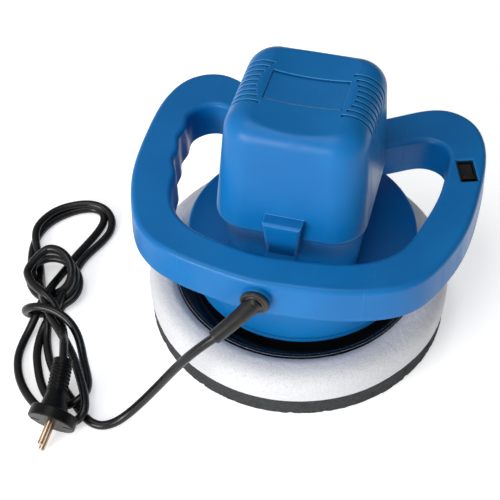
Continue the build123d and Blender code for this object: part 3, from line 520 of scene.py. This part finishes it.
# ---------------------------------------------------------------- cord
CORD_DIAMETER = 0.0068
CORD_EXIT = (-0.029, -0.137, 0.102)
cord_route = [
    CORD_EXIT, (-0.046, -0.1435, 0.084), (-0.06, -0.1455, 0.062), (-0.072, -0.148, 0.042),
    (-0.084, -0.152, 0.024), (-0.095, -0.158, 0.011), (-0.104, -0.164, 0.005), (-0.113, -0.168, 0.0035),
    (-0.122, -0.167, 0.0035), (-0.131, -0.1615, 0.0035), (-0.14, -0.154, 0.0035), (-0.15, -0.146, 0.0035),
    (-0.16, -0.137, 0.0035), (-0.17, -0.127, 0.0035), (-0.178, -0.115, 0.0035), (-0.184, -0.103, 0.0035),
    (-0.187, -0.093, 0.0065), (-0.19, -0.085, 0.0095), (-0.194, -0.077, 0.0095), (-0.199, -0.069, 0.009),
    (-0.207, -0.061, 0.006), (-0.216, -0.051, 0.0035), (-0.224, -0.04, 0.0035), (-0.23, -0.027, 0.0035),
    (-0.2345, -0.012, 0.0035), (-0.235, 0.003, 0.0035), (-0.231, 0.017, 0.0035), (-0.222, 0.029, 0.0035),
    (-0.211, 0.038, 0.0035), (-0.199, 0.0425, 0.0035), (-0.189, 0.0395, 0.0035), (-0.1845, 0.029, 0.0035),
    (-0.186, 0.015, 0.0035), (-0.19, 0, 0.0035), (-0.194, -0.014, 0.0035), (-0.196, -0.027, 0.004),
    (-0.197, -0.04, 0.007), (-0.197, -0.053, 0.0115), (-0.197, -0.065, 0.0145), (-0.198, -0.077, 0.0145),
    (-0.199, -0.088, 0.01), (-0.2005, -0.098, 0.0055), (-0.2015, -0.11, 0.0035), (-0.2, -0.124, 0.0035),
    (-0.194, -0.138, 0.0035), (-0.185, -0.15, 0.0035), (-0.1735, -0.16, 0.0035), (-0.16, -0.1675, 0.0035),
    (-0.147, -0.171, 0.0035), (-0.137, -0.172, 0.0045), (-0.1295, -0.17, 0.0085), (-0.127, -0.163, 0.0115),
    (-0.13, -0.154, 0.013), (-0.136, -0.144, 0.014), (-0.143, -0.134, 0.0155), (-0.151, -0.123, 0.017),
    (-0.161, -0.112, 0.018), (-0.172, -0.101, 0.018), (-0.182, -0.092, 0.0175), (-0.19, -0.0835, 0.018),
    (-0.197, -0.073, 0.019), (-0.203, -0.063, 0.015), (-0.2085, -0.053, 0.009), (-0.214, -0.043, 0.0045),
    (-0.22, -0.031, 0.0038), (-0.227, -0.019, 0.005), (-0.2335, -0.008, 0.0075), (-0.2375, 0.004, 0.0085),
    (-0.2345, 0.018, 0.0085), (-0.227, 0.03, 0.0085), (-0.214, 0.039, 0.0085), (-0.2, 0.0435, 0.0085),
    (-0.187, 0.0415, 0.007), (-0.178, 0.033, 0.0045), (-0.175, 0.02, 0.0035), (-0.178, 0.007, 0.0035),
    (-0.183, -0.005, 0.0035), (-0.187, -0.017, 0.0035), (-0.188, -0.03, 0.0035), (-0.188, -0.043, 0.0045),
    (-0.187, -0.054, 0.0095), (-0.186, -0.065, 0.011), (-0.186, -0.076, 0.0105), (-0.189, -0.087, 0.008),
    (-0.1905, -0.097, 0.0045), (-0.189, -0.108, 0.0035), (-0.186, -0.119, 0.0035), (-0.181, -0.129, 0.0035),
    (-0.174, -0.141, 0.0035), (-0.165, -0.152, 0.0035), (-0.155, -0.1585, 0.0035), (-0.146, -0.1595, 0.005),
    (-0.138, -0.156, 0.008), (-0.133, -0.148, 0.009), (-0.134, -0.138, 0.0085), (-0.1395, -0.128, 0.008),
    (-0.146, -0.118, 0.0085), (-0.1515, -0.108, 0.0105), (-0.157, -0.1, 0.015), (-0.1635, -0.0945, 0.0195),
    (-0.171, -0.091, 0.023), (-0.181, -0.0885, 0.025), (-0.191, -0.088, 0.025), (-0.2, -0.088, 0.0225),
    (-0.207, -0.087, 0.016), (-0.209, -0.085, 0.0085), (-0.206, -0.0825, 0.0037), (-0.199, -0.08, 0.0035),
    (-0.192, -0.077, 0.0035), (-0.185, -0.072, 0.0035)]
cord_end = [
    (-0.221, -0.05, 0.02), (-0.216, -0.059, 0.0205), (-0.208, -0.0665, 0.0225), (-0.198, -0.072, 0.0235),
    (-0.188, -0.0765, 0.02), (-0.18, -0.084, 0.0155), (-0.173, -0.094, 0.015), (-0.166, -0.105, 0.021),
    (-0.158, -0.12, 0.0305), (-0.1522, -0.1356, 0.0307)]


COIL_START, COIL_STEP, COIL_STEPS = -30, 30, 31      # degrees, degrees and how many points
COIL_TURN = radians(27)                 # of each ellipse's long axis, clockwise from above
COIL_HIGH_SIDE = radians(15)            # by which the highest point lies past the far side
COIL_WIDTH, COIL_DEPTH = 0.025, 0.0205  # half axes of the lowest turn
COIL_SHRINK = 0.0026                    # of the half axes, with each turn
COIL_FAR = (-0.2086, -0.0293)
COIL_LEAN = (0.454, 0.95)               # from there to a turn's centre, in half depths
COIL_FOOT, COIL_LIFT = 0.0035, 0.0012   # the first height, and what each turn adds
COIL_RISE, COIL_RISE_GAIN = 0.007, 0.0052


def coil_points():
    """The coil's turns: each ellipse smaller than the one below, with a high side and a low one."""
    points = []
    along = Vector((cos(COIL_TURN), -sin(COIL_TURN), 0))
    across = Vector((sin(COIL_TURN), cos(COIL_TURN), 0))
    for i in range(COIL_STEPS):
        turns = i * COIL_STEP / 360
        angle = radians(COIL_START + i * COIL_STEP)
        half_width, half_depth = COIL_WIDTH - COIL_SHRINK * turns, COIL_DEPTH - COIL_SHRINK * turns
        rise = COIL_RISE + COIL_RISE_GAIN * turns
        height = COIL_FOOT + COIL_LIFT * turns + rise * (1 + sin(angle - COIL_HIGH_SIDE)) / 2
        centre = Vector((COIL_FAR[0] + half_depth * COIL_LEAN[0],
                         COIL_FAR[1] - half_depth * COIL_LEAN[1], height))
        points.append(centre + along * half_width * cos(angle) + across * half_depth * sin(angle))
    return points


INSIDE_SLEEVE = (-0.0262, -0.1358, 0.1032)
INSIDE_PLUG = (-0.1518, -0.1385, 0.0300)


def add_cord():
    """One round cord from inside the sleeve, through the hank and its coil, to inside the plug."""
    points = [INSIDE_SLEEVE, *cord_route, *coil_points(), *cord_end, INSIDE_PLUG]
    data = bpy.data.curves.new("mains_cord", "CURVE")
    data.dimensions = "3D"
    data.bevel_depth = CORD_DIAMETER / 2
    data.bevel_resolution = 8
    data.resolution_u = 8
    spline = data.splines.new("NURBS")
    spline.points.add(len(points) - 1)
    for control, point in zip(spline.points, points):
        control.co = (*point, 1)
    spline.order_u = 3
    spline.use_endpoint_u = True
    cord = bpy.data.objects.new("mains_cord", data)
    bpy.context.scene.collection.objects.link(cord)
    wear(cord, "cord_black")
    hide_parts("cord_lead", "cord_hank", "cord_tail")
    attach(cord, "housing")
    return cord


cord = add_cord()


# ---------------------------------------------------------------- strain relief at the housing
def path_rings(path, radii, count):
    """Rings of points round a path, turned as little as possible from one to the next."""
    rings = []
    side = None
    for i, point in enumerate(path):
        ahead = (path[min(i + 1, len(path) - 1)] - path[max(i - 1, 0)]).normalized()
        if side is None:
            side = ahead.orthogonal().normalized()
        side = (side - ahead * side.dot(ahead)).normalized()
        other = ahead.cross(side)
        rings.append([point + (side * cos(tau * k / count) + other * sin(tau * k / count)) * radii[i]
                      for k in range(count)])
    return rings


def bezier(points, steps):
    """A smooth path through the pull of a few points, first and last kept."""
    path = []
    for i in range(steps + 1):
        t = i / steps
        level = [Vector(p) for p in points]
        while len(level) > 1:
            level = [a.lerp(b, t) for a, b in zip(level, level[1:])]
        path.append(level[0])
    return path


FLANGE_X, FLANGE_Y, FLANGE_Z = -0.006, -0.113, 0.120     # the middle of the flange's back
FLANGE_SEGMENTS = 64
FLANGE_PROFILE = [      # radius, distance in front of the back, rounding
    (0.0001, 0.0015, 0), (0.0096, 0.0002, 0.0004), (0.0105, 0.0010, 0.0006), (0.0104, 0.0026, 0.0006),
    (0.0096, 0.0033, 0.0006), (0.0078, 0.0034, 0.0005), (0.0074, 0.0028, 0.0003),
    (0.0070, 0.0034, 0.0004), (0.0001, 0.0042, 0)]


def add_flange():
    """The round flange that the sleeve comes out of."""
    centre = Vector((FLANGE_X, FLANGE_Y, FLANGE_Z))
    out = Vector((0, -1, 0))
    rings = []
    for r, depth in rounded(FLANGE_PROFILE, 4):
        ring = []
        for k in range(FLANGE_SEGMENTS):
            angle = tau * k / FLANGE_SEGMENTS
            ring.append(centre + out * depth + Vector((cos(angle), 0, sin(angle))) * r)
        rings.append(ring)
    disc = shown("sleeve_flange", *skinned(rings))
    wear(disc, "rubber_black",
         rubber("flange_rubber", (0.012, 0.010, 0.008), (0.034, 0.029, 0.024), 0.36, 0.3, 0.4))
    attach(disc, "housing")
    return disc


SLEEVE_PULLS = [(-0.0085, -0.1185, 0.1180), (-0.0170, -0.1270, 0.1115)]
SLEEVE_STEPS, SLEEVE_SEGMENTS = 60, 48
SLEEVE_RADIUS, SLEEVE_TAPER = 0.0065, 0.0013
GROOVE_START, GROOVE_END, GROOVE_DEPTH = 0.10, 0.13, 0.0004     # the first two as parts of its length


def add_sleeve():
    """The tapered sleeve from the flange to where the cord comes out, with a groove near the flange."""
    path = bezier([(FLANGE_X, FLANGE_Y - 0.001, FLANGE_Z), *SLEEVE_PULLS, CORD_EXIT], SLEEVE_STEPS)
    radii = []
    for i in range(len(path)):
        t = i / SLEEVE_STEPS
        groove = GROOVE_DEPTH if GROOVE_START < t < GROOVE_END else 0.0
        radii.append(SLEEVE_RADIUS - SLEEVE_TAPER * t - groove)
    # the mouth turns in round the cord
    end = path[-1]
    ahead = (path[-1] - path[-2]).normalized()
    path += [end + ahead * 0.0003, end + ahead * 0.0004, end]
    radii += [radii[-1] - 0.0003, 0.0036, 0.0035]
    sleeve = shown("cord_sleeve", *skinned(path_rings(path, radii, SLEEVE_SEGMENTS)))
    wear(sleeve, "rubber_black",
         rubber("sleeve_rubber", (0.005, 0.005, 0.0055), (0.011, 0.011, 0.012), 0.32, 0.3, 0.4))
    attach(sleeve, "housing")
    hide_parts("cord_grommet")
    return sleeve


flange = add_flange()
sleeve = add_sleeve()


# ---------------------------------------------------------------- plug
PLUG_FACE_TO_PIN_MIDDLE = 0.0095
PLUG_DISC_DEPTH = 0.009
SLEEVE_YAW = radians(8.6)
RIB_COUNT = 7
RIB_HEIGHT = 0.0011
RIBS_START, RIBS_LENGTH = 0.0145, 0.0205        # behind the plug's disc
RIBS_CORE, RIBS_END = 0.0068, 0.0064            # radii between the ribs, and of the first and last ring
RIBS_STEPS, RIBS_SEGMENTS = 150, 48
RIB_SLOPE = 6                                   # how steeply a rib rises from the core


def plug_axis():
    """The middle of the plug's face, and the way that its strain relief runs back from the disc."""
    first, second = mounts["plug_pin_upper"], mounts["plug_pin_lower"]
    pins = Vector(first["axis"])
    face = (Vector(first["pos_m"]) + Vector(second["pos_m"])) / 2 - pins * PLUG_FACE_TO_PIN_MIDDLE
    level = (pins.x ** 2 + pins.y ** 2) ** 0.5
    forward = Vector((level * sin(SLEEVE_YAW), -level * cos(SLEEVE_YAW), pins.z))
    return face - forward * PLUG_DISC_DEPTH, -forward


def add_ribs():
    """Half rings along the strain relief, those of one side between those of the other."""
    start, back = plug_axis()
    across = Vector((0, 0, 1)).cross(back).normalized()
    upward = back.cross(across).normalized()
    rings = []
    for i in range(RIBS_STEPS + 1):
        t = i / RIBS_STEPS
        depth = RIBS_START + RIBS_LENGTH * t
        ring = []
        for k in range(RIBS_SEGMENTS):
            angle = tau * k / RIBS_SEGMENTS
            side = 0.5 if cos(angle) < 0 else 0.0
            wave = (RIB_COUNT * t + side) % 1.0
            lift = min(1.0, max(0.0, (0.5 - abs(wave - 0.5)) * RIB_SLOPE - 1.0))
            seam = min(1.0, abs(cos(angle)) * RIB_SLOPE)
            radius = RIBS_END if i in (0, RIBS_STEPS) else RIBS_CORE + RIB_HEIGHT * lift * seam
            ring.append(start + back * depth + (across * cos(angle) + upward * sin(angle)) * radius)
        rings.append(ring)
    ribs = shown("plug_ribs", *skinned(rings))
    wear(ribs, "rubber_black")
    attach(ribs, "housing")
    return ribs


ribs = add_ribs()


# ---------------------------------------------------------------- stage and light
def add_floor():
    """A pale floor that gives off a little light of its own, as a photo studio's does."""
    half = 3.0
    corners = [(-half, -half, 0), (half, -half, 0), (half, half, 0), (-half, half, 0)]
    floor = shown("floor", corners, [(0, 1, 2, 3)])
    f = Finish("floor", roughness=0.85, Emission_Color=(1, 1, 1, 1), Emission_Strength=0.42)
    f.colour(f.colours(f.noise(3, 3, 0.5), (0.93, 0.93, 0.93), (0.96, 0.96, 0.96)))
    floor.data.materials.append(f.material)


def add_area(name, place, target, size, power):
    data = bpy.data.lights.new(name, "AREA")
    data.shape = "RECTANGLE"
    data.size, data.size_y = size
    data.energy = power
    lamp = bpy.data.objects.new(name, data)
    lamp.location = place
    lamp.rotation_euler = (Vector(target) - Vector(place)).to_track_quat("-Z", "Y").to_euler()
    bpy.context.scene.collection.objects.link(lamp)


WORLD_BRIGHT_SIDE = (-0.55, -0.80, 0.20)
WORLD_SPREAD = {"From Min": -0.8, "From Max": 0.9, "To Min": 0.08, "To Max": 0.80}


def add_world():
    """A soft grey room, bright towards the front left and dim behind."""
    world = bpy.data.worlds.new("studio")
    world.use_nodes = True
    tree = world.node_tree
    sky = tree.nodes["Background"]
    place = tree.nodes.new("ShaderNodeTexCoord")
    facing = tree.nodes.new("ShaderNodeVectorMath")
    facing.operation = "DOT_PRODUCT"
    facing.inputs[1].default_value = WORLD_BRIGHT_SIDE
    spread = tree.nodes.new("ShaderNodeMapRange")
    for key, value in WORLD_SPREAD.items():
        spread.inputs[key].default_value = value
    tree.links.new(place.outputs["Generated"], facing.inputs[0])
    tree.links.new(facing.outputs["Value"], spread.inputs["Value"])
    tree.links.new(spread.outputs["Result"], sky.inputs["Strength"])
    sky.inputs["Color"].default_value = (1.0, 1.0, 1.0, 1)
    bpy.context.scene.world = world


add_floor()
add_area("key", (-0.75, -1.5, 0.66), (0, 0, 0.08), (1.0, 0.6), 22)
add_area("overhead", (-0.35, -0.35, 1.9), (0, 0, 0.1), (1.2, 0.9), 9)
add_world()
bpy.context.scene.view_settings.view_transform = "Standard"
